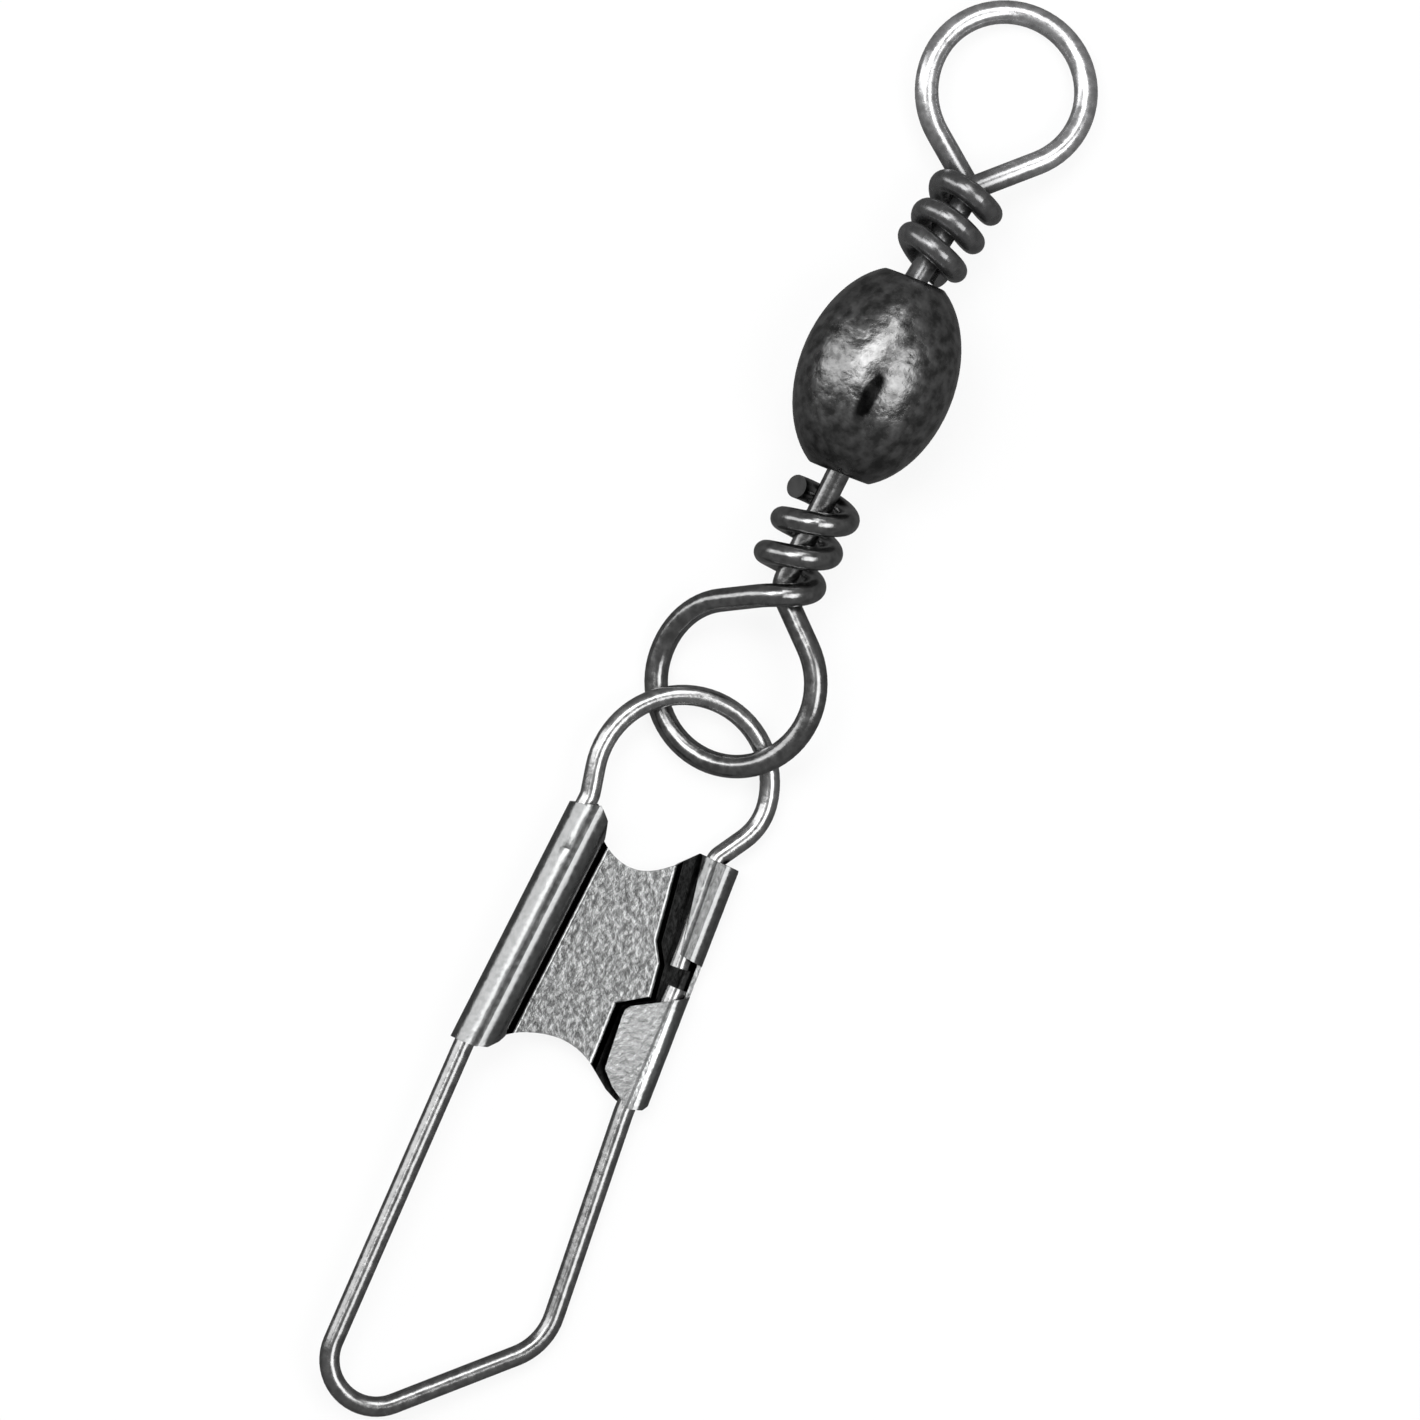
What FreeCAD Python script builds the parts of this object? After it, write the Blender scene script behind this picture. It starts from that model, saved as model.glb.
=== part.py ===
import FreeCAD, Part
import math
import os

# Barrel swivel with a safety snap, lying on a table, in millimetres.
# +Z is up and +Y runs from the snap to the line eye.

# barrel: a hollow turned shell with its ends closed in round the stems
barrel_length = 9.62
barrel_dia = 7.32
shell_wall = 0.55
hole_dia = 1.6
lip_round = 0.2
barrel_turn = 3.0          # degrees from +Y, top end to the left
barrel_bulge = barrel_length*1.09   # full length of the oval that the shell is cut from

# both eyes: one wire with an upset head, a ring and wraps round its stem
eye_wire = 1.1
head_dia = 2.6
head_length = 0.95
head_gap = 0.2
neck_bend = 1.2

# snap: one spring wire and one folded sheet
snap_wire = 0.95
snap_length = 37.385       # over the wire, from its loop to the lure's end
sheet = 0.22
fit = 0.02                 # wire to rolled sheet
panel_level = -0.15        # middle of the raised panel, from the wire's middle
crease = 0.16              # bend radius of the panel's sides
hem_radius = 1.05          # left roll, wider than the wire that lies in its outer side
hem_lean = 20.0            # degrees, how far the left roll's middle is below its wire's
tab_lift = 0.12            # tab's free edge over the panel

# how the pieces lie on the table, in degrees
line_turn = -7.4           # in plan
line_droop = 12.86
snap_eye_turn = -2.1
snap_eye_droop = 9.95
snap_eye_roll = 15.0
snap_pitch = 0.25
snap_roll = 7.5
snap_lift = 1.116          # mm, middle of the wire over the table at the lure's end

V = FreeCAD.Vector
origin = V(0, 0, 0)
across = V(1, 0, 0)
along = V(0, 1, 0)
up = V(0, 0, 1)

barrel_height = barrel_dia/2
hole_depth = barrel_length/2-shell_wall/2

# the roll's middle radius, from the wire that it holds
roll_radius = snap_wire/2+fit+sheet/2

# sizes of each eye, measured outward from the barrel's end; lean and spread in degrees
line_eye = dict(neck=5.15, lean=-12.3, spread=48.5, radius=3.71, wrap=1.34,
                first=4.95, pitch=1.6, last=1.3, corners=25, skew=0.3, lead=0)
snap_eye = dict(neck=6.03, lean=1.1, spread=52, radius=3.88, wrap=1.39,
                first=5.6, pitch=1.75, last=1.3, corners=22, skew=0.13, lead=0.3)

# spring wire: its end in the right roll, the top loop, the left tube and the corners below
roll_axis = [V(2.965, -28.7, 0), V(2.482, -23.35, 0)]
loop_side = V(3.77, -21.17, 0)
loop_centre = V(-0.45, -20.85, 0)
loop_radius = 4.1
loop_start = 10            # degrees
snap_end = loop_centre.y+loop_radius+snap_wire/2-snap_length
tube_axis = [V(-4.13, -23.1, 0), V(-4.7, -36, 0)]
low_corners = [(V(-4.43, snap_end-2.6, 0), 2.2), (V(4.55, snap_end+6.47, 0), 3)]
free_leg = [V(3.42, -35.84, 0), V(3.267, -29.6, 0)]
wire_bends = dict(hook=0.6, shoulder=2.8, neck=1, side=4)

# folded sheet: y, right side of the raised panel, middle of the right fold
stations = [(-22.8, 0.62, 2.92), (-28, 1.47, 3.22), (-28.9, 2.05, 3.27), (-30.5, 2.3, 3.35),
            (-31.4, 0.95, 3.41), (-36.6, 1.2, 3.71)]
tab_start = -28.9
top_curve = [V(-2.63, -24.75, 0), V(-1.75, -25.27, 0), V(-0.58, -25.35, 0),
             V(0.55, -24.73, 0), V(1.77, -23.47, 0)]
top_right = [V(3.62, -23.47, 0), V(3.8, -23.9, 0), V(6, -25, 0)]
low_right = [V(6, -34.6, 0), V(4.42, -35, 0), V(4.1, -35.42, 0), V(3.45, -35.62, 0), V(2.9, -35.5, 0)]
low_curve = [V(2.32, -35.25, 0), V(1.5, -34.68, 0), V(0.64, -34.2, 0), V(-0.7, -33.95, 0),
             V(-2.03, -34.24, 0), V(-2.85, -34.66, 0), V(-3.3, -35.22, 0)]
left_ends = [V(-3.72, -35.66, 0), V(-4.3, -35.86, 0), V(-6.2, -35.95, 0), V(-6.2, -24.2, 0),
             V(-4.93, -23.76, 0), V(-3.53, -23.33, 0), V(-2.95, -23.85, 0)]
roll_flap = [V(1.5, -22, 0), V(1.79, -23.4, 0), V(2.72, -28.12, 0), V(3.93, -28.23, 0),
             V(6, -28.41, 0), V(6, -22, 0)]
tab_flap = [V(6, -28.5, 0), V(4.09, -29.69, 0), V(2.15, -30.9, 0), V(1.62, -31.24, 0),
            V(1.46, -31.48, 0), V(1.46, -31.8, 0), V(1.73, -34.35, 0), V(2.4, -35, 0),
            V(3.1, -35.4, 0), V(3.3, -37, 0), V(6, -37, 0)]


def path(corners):
    # straight runs joined by round bends; a bend without a radius takes half of its shorter side
    edges = []
    start = corners[0][0]
    for before, (point, radius), after in zip(corners, corners[1:], corners[2:]):
        back = before[0]-point
        on = after[0]-point
        half = (math.pi-back.getAngle(on))/2
        reach = min(back.Length, on.Length)/2
        if radius:
            reach = radius*math.tan(half)
        back.normalize()
        on.normalize()
        middle = (back+on).normalize()
        top = middle*(reach*math.tan(half/2))
        if (point+back*reach-start).Length > 1e-5:
            edges.append(Part.makeLine(start, point+back*reach))
        edges.append(Part.Arc(point+back*reach, point+top, point+on*reach).toShape())
        start = point+on*reach
    if (corners[-1][0]-start).Length > 1e-5:
        edges.append(Part.makeLine(start, corners[-1][0]))
    return Part.Wire(edges)


def bends(centre, radius, start, end):
    # corners that carry a path round a circle, angles in degrees
    count = math.ceil(abs(end-start)/75)
    step = math.radians(end-start)/count
    reach = radius/math.cos(step/2)
    angles = [math.radians(start)+step*(k+0.5) for k in range(count)]
    return [(centre+V(math.cos(a), math.sin(a), 0)*reach, radius) for a in angles]


def tangent(centre, radius, point, side):
    # angle on the circle where a straight line from the point runs onto it
    away = point-centre
    bearing = math.degrees(math.atan2(away.y, away.x))
    return bearing+side*math.degrees(math.acos(radius/math.hypot(away.x, away.y)))


def round_wire(line, dia):
    start = line.Edges[0]
    point = start.valueAt(start.FirstParameter)
    way = start.tangentAt(start.FirstParameter)
    disc = Part.Face(Part.Wire(Part.makeCircle(dia/2, point, way)))
    return line.makePipe(disc)


def oval(length, dia):
    line = Part.Ellipse(along*(length/2), across*(dia/2), origin).toShape()
    return Part.Face(Part.Wire(line))


def make_barrel():
    # outline on one side of the axis, then turned
    half = barrel_length/2
    room = Part.makePlane(barrel_dia, barrel_length, V(hole_dia/2, -half, 0))
    hollow = oval(barrel_length-shell_wall*1.6, barrel_dia-shell_wall*2)
    outline = oval(barrel_bulge, barrel_dia).common(room).cut(hollow)
    shell = outline.revolve(origin, along, 360)
    lips = []
    for edge in shell.Edges:
        if edge.Curve.TypeId == "Part::GeomCircle" and abs(abs(edge.Curve.Center.y)-half) < 0.01:
            if edge.Curve.Radius > hole_dia/2+lip_round:
                lips.append(edge)
    return shell.makeFillet(lip_round, lips)


def wrap_corners(eye):
    # the cut end's side of the ring passes the stem and winds down it toward the barrel
    around = 8
    reach = eye["wrap"]/math.cos(math.pi/around)
    corners = []
    for k in range(eye["corners"]+1):
        angle = math.radians(270+360/around*k)
        level = max(eye["first"]-eye["pitch"]*(k-2)/around, eye["last"])
        level += eye["lead"]*max(1-k/2, 0)-eye["skew"]*reach*math.cos(angle)
        corners.append((V(reach*math.cos(angle), level, reach*math.sin(angle)), None))
    return corners


def ring_centre(eye):
    lean = math.radians(eye["lean"])
    far = eye["radius"]/math.sin(math.radians(eye["spread"]))
    return V(far*math.sin(lean), eye["neck"]+far*math.cos(lean), 0)


def make_eye(eye):
    neck = V(0, eye["neck"], 0)
    centre = ring_centre(eye)
    wraps = wrap_corners(eye)
    onto = tangent(centre, eye["radius"], neck, 1)
    off = tangent(centre, eye["radius"], wraps[0][0], -1)+360
    ring = bends(centre, eye["radius"], onto, off)
    root = V(0, -head_gap-shell_wall-head_dia/4, 0)
    wire = round_wire(path([(root, None), (neck, neck_bend)]+ring+wraps), eye_wire)
    head = Part.makeCylinder(head_dia/2, head_length, root, -along)
    rims = [e for e in head.Edges if e.Curve.TypeId == "Part::GeomCircle"]
    return wire.fuse(head.makeFillet(head_length*0.35, rims)).removeSplitter()


def run_at(run, y):
    # x of a straight run of wire at a distance along the snap
    return run[0].x+(y-run[0].y)/(run[1].y-run[0].y)*(run[1].x-run[0].x)


def section(y, groove, fold, flap):
    # middle line of the folded sheet, left roll to right flap, seen along the snap
    tube = run_at(tube_axis, y)
    roll = run_at(roll_axis, y)
    leg = run_at(free_leg, y)
    left = V(tube, 0, 0)
    right = V(fold, 0, 0)
    tilt = math.radians(hem_lean)
    hem = left+V(math.cos(tilt), -math.sin(tilt), 0)*(hem_radius-roll_radius)
    lip = hem+V(math.cos(tilt/2), math.sin(tilt/2), 0)*hem_radius
    line = [(lip, 0)]+bends(hem, hem_radius, hem_lean/2, 180-hem_lean)
    line += bends(left, roll_radius, 180-hem_lean, 270)
    line += [(V(lip.x+0.1, -roll_radius, 0), crease), (V(lip.x+0.45, panel_level, 0), crease)]
    line += [(V(groove, panel_level, 0), crease), (V(groove+0.3, -roll_radius, 0), crease)]
    line += bends(right, roll_radius, -90, 90)
    if flap is None:
        line += bends(V(roll, 0, 0), roll_radius, 90, 165)
        last = math.radians(165)
        line.append((V(roll+roll_radius*math.cos(last)-0.03, roll_radius*math.sin(last)-0.1, 0), 0))
    else:
        over = V(leg, 0, 0)
        line += bends(over, roll_radius, 90, tangent(over, roll_radius, flap, -1))
        line.append((flap, 0))
    edges = []
    ends = []
    for side in (sheet/2, -sheet/2):
        shifted = shift(line, side)
        wire = path(shifted)
        edges += wire.Edges
        ends.append((shifted[0][0], shifted[-1][0]))
    edges.append(Part.makeLine(ends[0][0], ends[1][0]))
    edges.append(Part.makeLine(ends[0][1], ends[1][1]))
    outline = Part.Wire(Part.__sortEdges__(edges))
    outline.rotate(origin, across, 90)
    outline.translate(V(0, y, 0))
    return outline


def shift(line, side):
    # the same bends for a line drawn to one side
    moved = []
    for k, (point, radius) in enumerate(line):
        before = line[max(k-1, 0)][0]
        after = line[min(k+1, len(line)-1)][0]
        ways = [w.normalize() for w in (point-before, after-point) if w.Length > 1e-6]
        left = [V(-w.y, w.x, 0) for w in (ways[0], ways[-1])]
        turn = left[0]*ways[-1]
        new = point+(left[0]+left[1])*(side/(1+left[0]*left[1]))
        moved.append((new, radius-side*math.copysign(1, turn) if radius else 0))
    return moved


def slab(points, low, high):
    face = Part.Face(Part.makePolygon(points+points[:1]))
    face.translate(up*low)
    return face.extrude(up*(high-low))


def curve(points):
    line = Part.BSplineCurve()
    line.interpolate(points)
    return line.toShape()


def make_sheet():
    # folded along straight lines, then trimmed: outline first, flaps after
    tab = V(1.2, panel_level+sheet+tab_lift, 0)
    sheets = []
    for ends in zip(stations, stations[1:]):
        flap = tab if ends[0][0] <= tab_start else None
        rims = [section(*end, flap) for end in ends]
        sheets.append(Part.makeLoft(rims, True, True))
    folded = sheets[0].fuse(sheets[1:])
    rest = left_ends+top_curve[:1]
    sides = Part.makePolygon(low_curve[-1:]+rest).Edges
    sides += Part.makePolygon(top_curve[-1:]+top_right+low_right+low_curve[:1]).Edges
    edges = sides+[curve(top_curve), curve(low_curve)]
    outline = Part.Face(Part.Wire(Part.__sortEdges__(edges)))
    outline.translate(up*-2)
    folded = folded.common(outline.extrude(up*4))
    low = panel_level+sheet/2+fit/2
    flap_room = slab([V(-2.2, -38, 0), V(8, -38, 0), V(8, -21, 0), V(-2.2, -21, 0)], low, 2)
    for flap in (roll_flap, tab_flap):
        flap_room = flap_room.cut(slab(flap, low-1, 3))
    return folded.cut(flap_room).removeSplitter()


def make_snap_wire():
    on = loop_centre+V(loop_radius, 0, 0)
    off = tangent(loop_centre, loop_radius, tube_axis[0], -1)+360
    corners = [(roll_axis[0], 0), (roll_axis[1], wire_bends["hook"])]
    corners += [(loop_side, wire_bends["shoulder"])]
    corners += bends(loop_centre, loop_radius, loop_start, off)
    corners += [(tube_axis[0], wire_bends["neck"]), (tube_axis[1], wire_bends["side"])]
    corners += low_corners+[(free_leg[0], wire_bends["side"]), (free_leg[1], 0)]
    return round_wire(path(corners), snap_wire)


def lay_eye(shape, pivot, over, droop, roll, turn):
    # rolled about its own stem, let down to the table and turned in plan
    shape.translate(along*(shell_wall/2))
    shape.rotate(origin, along, roll)
    shape.rotate(origin, across, over)
    shape.rotate(origin, across, droop)
    shape.rotate(origin, up, turn)
    shape.translate(pivot)


def lay_snap(shape):
    foot = V(0, snap_end+0.66, 0)
    shape.rotate(foot, across, snap_pitch)
    shape.rotate(foot, along, snap_roll)
    shape.translate(up*snap_lift)


barrel = make_barrel()
barrel.rotate(origin, up, barrel_turn)
barrel.translate(up*barrel_height)
axis = V(-math.sin(math.radians(barrel_turn)), math.cos(math.radians(barrel_turn)), 0)
upper = make_eye(line_eye)
lay_eye(upper, up*barrel_height+axis*hole_depth, 0, -line_droop, 0, line_turn)
lower = make_eye(snap_eye)
lay_eye(lower, up*barrel_height-axis*hole_depth, 180, snap_eye_droop, snap_eye_roll, snap_eye_turn)
spring = make_snap_wire()
lay_snap(spring)
keeper = make_sheet()
lay_snap(keeper)

pieces = {"barrel": barrel, "line_eye": upper, "snap_eye": lower,
          "snap_wire": spring, "snap_plate": keeper}
box = Part.makeCompound(list(pieces.values())).optimalBoundingBox()
middle = V((box.XMin+box.XMax)/2, (box.YMin+box.YMax)/2, box.ZMin)
os.makedirs("parts", exist_ok=True)
for name, shape in pieces.items():
    shape.translate(-middle)
    shape.exportStep("parts/"+name+".step")
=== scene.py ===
import math

import bpy
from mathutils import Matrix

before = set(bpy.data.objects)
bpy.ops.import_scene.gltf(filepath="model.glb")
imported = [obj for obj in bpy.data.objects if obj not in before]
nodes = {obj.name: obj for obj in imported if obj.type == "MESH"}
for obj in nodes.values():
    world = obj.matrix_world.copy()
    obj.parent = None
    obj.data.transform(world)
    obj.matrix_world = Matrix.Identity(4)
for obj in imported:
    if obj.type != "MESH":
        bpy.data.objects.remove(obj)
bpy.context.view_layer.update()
print("frame loaded")

# lengths are in metres, angles in degrees
# the photo is 1420 pixels wide, 21.6 of them a millimetre at this level above the floor
photo = {"side": 1420/21600, "level": 0.0015, "x": -0.0004, "y": 0.000225, "turn": 24.4,
         "height": 0.8, "sensor": 36, "clip": (0.05, 3)}

# the part of the noise that shades and roughens a metal, how far its roughness strays from the
# middle, and the share of a mark's half size in which its rim fades
finish = {"shade": (0.35, 0.65), "polish": (0.3, 0.7), "stray": (0.8, 1.2), "rim": 0.35}


def addNode(material, kind, **values):
    node = material.node_tree.nodes.new(kind)
    for name, value in values.items():
        if name in node.inputs.keys():
            node.inputs[name].default_value = value
        else:
            setattr(node, name, value)
    return node


def join(material, source, output, target, entry):
    material.node_tree.links.new(source.outputs[output], target.inputs[entry])


def ramp(made, source, output, start, end, first=0.0, last=1.0):
    # from first to last while the source goes from start to end
    slide = addNode(made, "ShaderNodeMapRange")
    ends = {"From Min": start, "From Max": end, "To Min": first, "To Max": last}
    for entry, value in ends.items():
        slide.inputs[entry].default_value = value
    join(made, source, output, slide, "Value")
    return slide


def along(made, place, output, way):
    # distance in metres, or slope, along one direction of the piece
    reach = addNode(made, "ShaderNodeVectorMath", operation="DOT_PRODUCT")
    reach.inputs[1].default_value = way
    join(made, place, output, reach, 0)
    return reach


def times(made, first, second):
    product = addNode(made, "ShaderNodeMath", operation="MULTIPLY")
    join(made, first, 0, product, 0)
    join(made, second, 0, product, 1)
    return product


def pitShade(made, place, pit):
    # painted shade: dark where the sheet is below its raised panel and faces up
    depth = ramp(made, along(made, place, "Object", pit["up"]), "Value", *pit["span"], 1, 0)
    facing = ramp(made, along(made, place, "Normal", pit["up"]), "Value", *pit["facing"])
    return ramp(made, times(made, depth, facing), 0, 0, 1, 1, pit["tint"])


def markMask(made, place, grain, mark):
    # oval patch with an uneven rim: 1 inside, 0 outside
    rim = addNode(made, "ShaderNodeVectorMath", operation="MULTIPLY_ADD")
    rim.inputs[1].default_value = [mark["ragged"]]*3
    join(made, grain, "Color", rim, 0)
    join(made, place, "Object", rim, 2)
    fit = addNode(made, "ShaderNodeMapping", vector_type="TEXTURE")
    fit.inputs["Location"].default_value = [c+mark["ragged"]/2 for c in mark["at"]]
    fit.inputs["Rotation"].default_value = (0, 0, math.radians(mark["turn"]))
    fit.inputs["Scale"].default_value = mark["half"]
    join(made, rim, "Vector", fit, "Vector")
    oval = addNode(made, "ShaderNodeTexGradient", gradient_type="SPHERICAL")
    join(made, fit, "Vector", oval, "Vector")
    return ramp(made, oval, "Fac", 0, finish["rim"])


def metal(name, look):
    made = bpy.data.materials.new(name)
    made.use_nodes = True
    shader = made.node_tree.nodes["Principled BSDF"]
    shader.inputs["Metallic"].default_value = look["metallic"]
    place = addNode(made, "ShaderNodeTexCoord")
    grain = addNode(made, "ShaderNodeTexNoise", Scale=look["grain"], Detail=look["detail"])
    join(made, place, "Object", grain, "Vector")
    shade = ramp(made, grain, "Fac", *finish["shade"], look["dark"], 1)
    bump = addNode(made, "ShaderNodeBump", Strength=look["bump"], Distance=look["depth"])
    if "smooth" in look:
        # less grain and relief on the rolls, which stand above the panel
        smooth = look["smooth"]
        height = along(made, place, "Object", smooth["up"])
        even = ramp(made, height, "Value", *smooth["span"], look["dark"], smooth["dark"])
        join(made, even, "Result", shade, "To Min")
        relief = ramp(made, height, "Value", *smooth["span"], look["bump"], smooth["bump"])
        patch = markMask(made, place, grain, look["mark"])
        relief = times(made, relief, ramp(made, patch, "Result", 0, 1, 1, look["mark"]["relief"]))
        join(made, relief, "Value", bump, "Strength")
    if "fade" in look:
        fade = look["fade"]
        reach = along(made, place, "Object", fade["way"])
        shade = times(made, shade, ramp(made, reach, "Value", *fade["span"], *fade["tint"]))
    if "pit" in look:
        shade = times(made, shade, pitShade(made, place, look["pit"]))
    if "mark" in look:
        patch = markMask(made, place, grain, look["mark"])
        shade = times(made, shade, ramp(made, patch, "Result", 0, 1, 1, look["mark"]["tint"]))
    tone = addNode(made, "ShaderNodeMix", data_type="RGBA")
    tone.inputs["A"].default_value = (0, 0, 0, 1)
    tone.inputs["B"].default_value = (*look["color"], 1)
    join(made, shade, 0, tone, "Factor")
    join(made, tone, "Result", shader, "Base Color")
    rough = [look["rough"]*part for part in finish["stray"]]
    polish = ramp(made, grain, "Fac", *finish["polish"], *rough)
    join(made, polish, "Result", shader, "Roughness")
    join(made, grain, "Fac", bump, "Height")
    join(made, bump, "Normal", shader, "Normal")
    return made


# grain in features a metre, depth is the bump's height, and a fade's tint is the tone at the
# two ends of its span
lengthways = (0, 1, 0)  # from the lure's loop to the line's ring
snapUp = (0.130525, -0.004363, 0.991435)  # square to the plate's panel, which lies rolled
rollSpan = (0.0013, 0.00144)  # along snapUp, from the panel's level to the rolls
looks = {
    "barrel": {"color": (0.34, 0.34, 0.34), "dark": 0.35, "metallic": 1, "rough": 0.28,
               "grain": 1700, "detail": 5, "bump": 0.6, "depth": 0.0001,
               # the small dent, as painted shade: a dark streak in the colour across the
               # highlight
               "mark": {"at": (0.00031, 0.01642, 0.0073), "turn": -4,
                        "half": (0.0005, 0.0015, 0.003), "ragged": 0.0003, "tint": 0.1},
               # painted shade: the barrel darker towards its end at the lure's loop
               "fade": {"way": lengthways, "span": (0.0128, 0.0148), "tint": (0.55, 1)}},
    "line_eye": {"color": (0.78, 0.78, 0.79), "dark": 0.72, "metallic": 0.88, "rough": 0.26,
                 "grain": 2500, "detail": 3, "bump": 0.4, "depth": 0.00003,
                 # painted shade: the wraps darker than the ring
                 "fade": {"way": lengthways, "span": (0.0275, 0.0295), "tint": (0.36, 1)}},
    "snap_eye": {"color": (0.37, 0.37, 0.37), "dark": 0.65, "metallic": 1, "rough": 0.22,
                 "grain": 2500, "detail": 3, "bump": 0.4, "depth": 0.00003,
                 # the wire's cut end, darkened with painted shade
                 "mark": {"at": (-0.00099, 0.01125, 0.0055), "turn": 0,
                          "half": (0.0009, 0.0009, 0.01), "ragged": 0.0002, "tint": 0.1}},
    "snap_wire": {"color": (0.6, 0.6, 0.6), "dark": 0.7, "metallic": 1, "rough": 0.24,
                  "grain": 2500, "detail": 3, "bump": 0.4, "depth": 0.00003,
                  # painted shade: the wire darker along the legs, towards the lure's end
                  "fade": {"way": lengthways, "span": (-0.02, -0.004), "tint": (0.7, 1)}},
    "snap_plate": {"color": (0.8, 0.81, 0.81), "dark": 0.58, "metallic": 1, "rough": 0.22,
                   "grain": 3400, "detail": 4, "bump": 0.4, "depth": 0.00004,
                   # painted shade: the rolls darker than the panel
                   "fade": {"way": snapUp, "span": rollSpan, "tint": (0.54, 0.39)},
                   "smooth": {"up": snapUp, "span": rollSpan, "dark": 0.78, "bump": 0.15},
                   # the catch tab, lighter with painted light, and coarser
                   "mark": {"at": (0.0027, -0.01578, 0.0015), "turn": 0,
                            "half": (0.0018, 0.0038, 0.0008), "ragged": 0.001, "tint": 2.3,
                            "relief": 2.4},
                   # painted shade in the recess between the panel and the rolls
                   "pit": {"up": snapUp, "span": (0.001195, 0.001246), "facing": (0.05, 0.3),
                           "tint": 0.05}},
}
for name, look in looks.items():
    nodes[name].material_slots[0].material = metal(name + "_metal", look)
print("materials made")

# floor of thin white paper with a faint shadow, clear enough to show a part swung below it;
# the metal mirrors the floor and the room as greys, to keep the wires' edges dark
backdrop = {"size": 1, "level": -0.00002, "clear": 0.8, "paper": (0.8, 0.8, 0.8, 1),
            "mirrored": (0.13, 0.13, 0.13, 1), "dim": (0.17, 0.17, 0.17, 1), "white": 1.09}
bpy.ops.mesh.primitive_plane_add(size=backdrop["size"])
floor = bpy.context.object
floor.name = "floor"
paper = bpy.data.materials.new("paper")
paper.use_nodes = True
paper.node_tree.nodes.clear()
matte = addNode(paper, "ShaderNodeBsdfDiffuse", Color=backdrop["paper"])
clear = addNode(paper, "ShaderNodeBsdfTransparent")
mirrored = addNode(paper, "ShaderNodeEmission", Color=backdrop["mirrored"])
ray = addNode(paper, "ShaderNodeLightPath")
face = addNode(paper, "ShaderNodeMixShader")
thinness = addNode(paper, "ShaderNodeMath", operation="MULTIPLY_ADD")
sheet = addNode(paper, "ShaderNodeMixShader")
out = addNode(paper, "ShaderNodeOutputMaterial")
join(paper, ray, "Is Glossy Ray", face, 0)
join(paper, matte, "BSDF", face, 1)
join(paper, mirrored, "Emission", face, 2)
thinness.inputs[1].default_value = backdrop["clear"]  # mostly clear to the camera
join(paper, ray, "Is Camera Ray", thinness, 0)
join(paper, ray, "Is Shadow Ray", thinness, 2)  # and wholly to the lamps
join(paper, thinness, "Value", sheet, 0)
join(paper, face, "Shader", sheet, 1)
join(paper, clear, "BSDF", sheet, 2)
join(paper, sheet, "Shader", out, "Surface")
floor.data.materials.append(paper)
floor.location = (0, 0, backdrop["level"])
print("floor laid")

# tilt from straight up, bearing clockwise from the picture's top; glow is the face's brightness,
# which stays when the size changes
lampDistance = 0.4
lamps = {
    "key": {"tilt": 25, "bearing": -42, "size": (0.22, 0.16), "glow": 4.4},
    "side": {"tilt": 62, "bearing": -66, "size": (0.16, 0.36), "glow": 2},
    "top": {"tilt": 34, "bearing": 18, "size": (0.12, 0.24), "glow": 3.2},
    "right": {"tilt": 31, "bearing": 102, "size": (0.24, 0.2), "glow": 3.1},
    "over": {"tilt": 8, "bearing": -74, "size": (0.06, 0.045), "glow": 1.1},
}
for name, softbox in lamps.items():
    tilt, around = math.radians(softbox["tilt"]), math.radians(photo["turn"]-softbox["bearing"])
    at = (-math.sin(tilt)*math.sin(around)*lampDistance,
          math.sin(tilt)*math.cos(around)*lampDistance, math.cos(tilt)*lampDistance)
    width, length = softbox["size"]
    bpy.ops.object.light_add(type="AREA", location=at)
    lamp = bpy.context.object
    lamp.name = name
    lamp.data.shape = "RECTANGLE"
    lamp.data.size, lamp.data.size_y = width, length
    lamp.data.energy = softbox["glow"]*math.pi*width*length
    lamp.rotation_euler = lamp.location.to_track_quat("Z", "Y").to_euler()
    lamp.visible_camera = False

world = bpy.data.worlds.new("studio")
bpy.context.scene.world = world
world.use_nodes = True
dim = world.node_tree.nodes["Background"]
dim.inputs["Color"].default_value = backdrop["dim"]
white = addNode(world, "ShaderNodeBackground", Color=(1, 1, 1, 1), Strength=backdrop["white"])
ray = addNode(world, "ShaderNodeLightPath")
room = addNode(world, "ShaderNodeMixShader")
join(world, ray, "Is Camera Ray", room, 0)
join(world, dim, "Background", room, 1)
join(world, white, "Background", room, 2)
join(world, room, "Shader", world.node_tree.nodes["World Output"], "Surface")
print("lights made")

bpy.ops.object.camera_add(location=(photo["x"], photo["y"], photo["height"]))
camera = bpy.context.object
camera.rotation_euler = (0, 0, math.radians(photo["turn"]))
camera.data.sensor_width = photo["sensor"]
camera.data.lens = photo["sensor"]*(photo["height"]-photo["level"])/photo["side"]
camera.data.clip_start, camera.data.clip_end = photo["clip"]
bpy.context.scene.camera = camera
bpy.context.scene.view_settings.view_transform = "Standard"
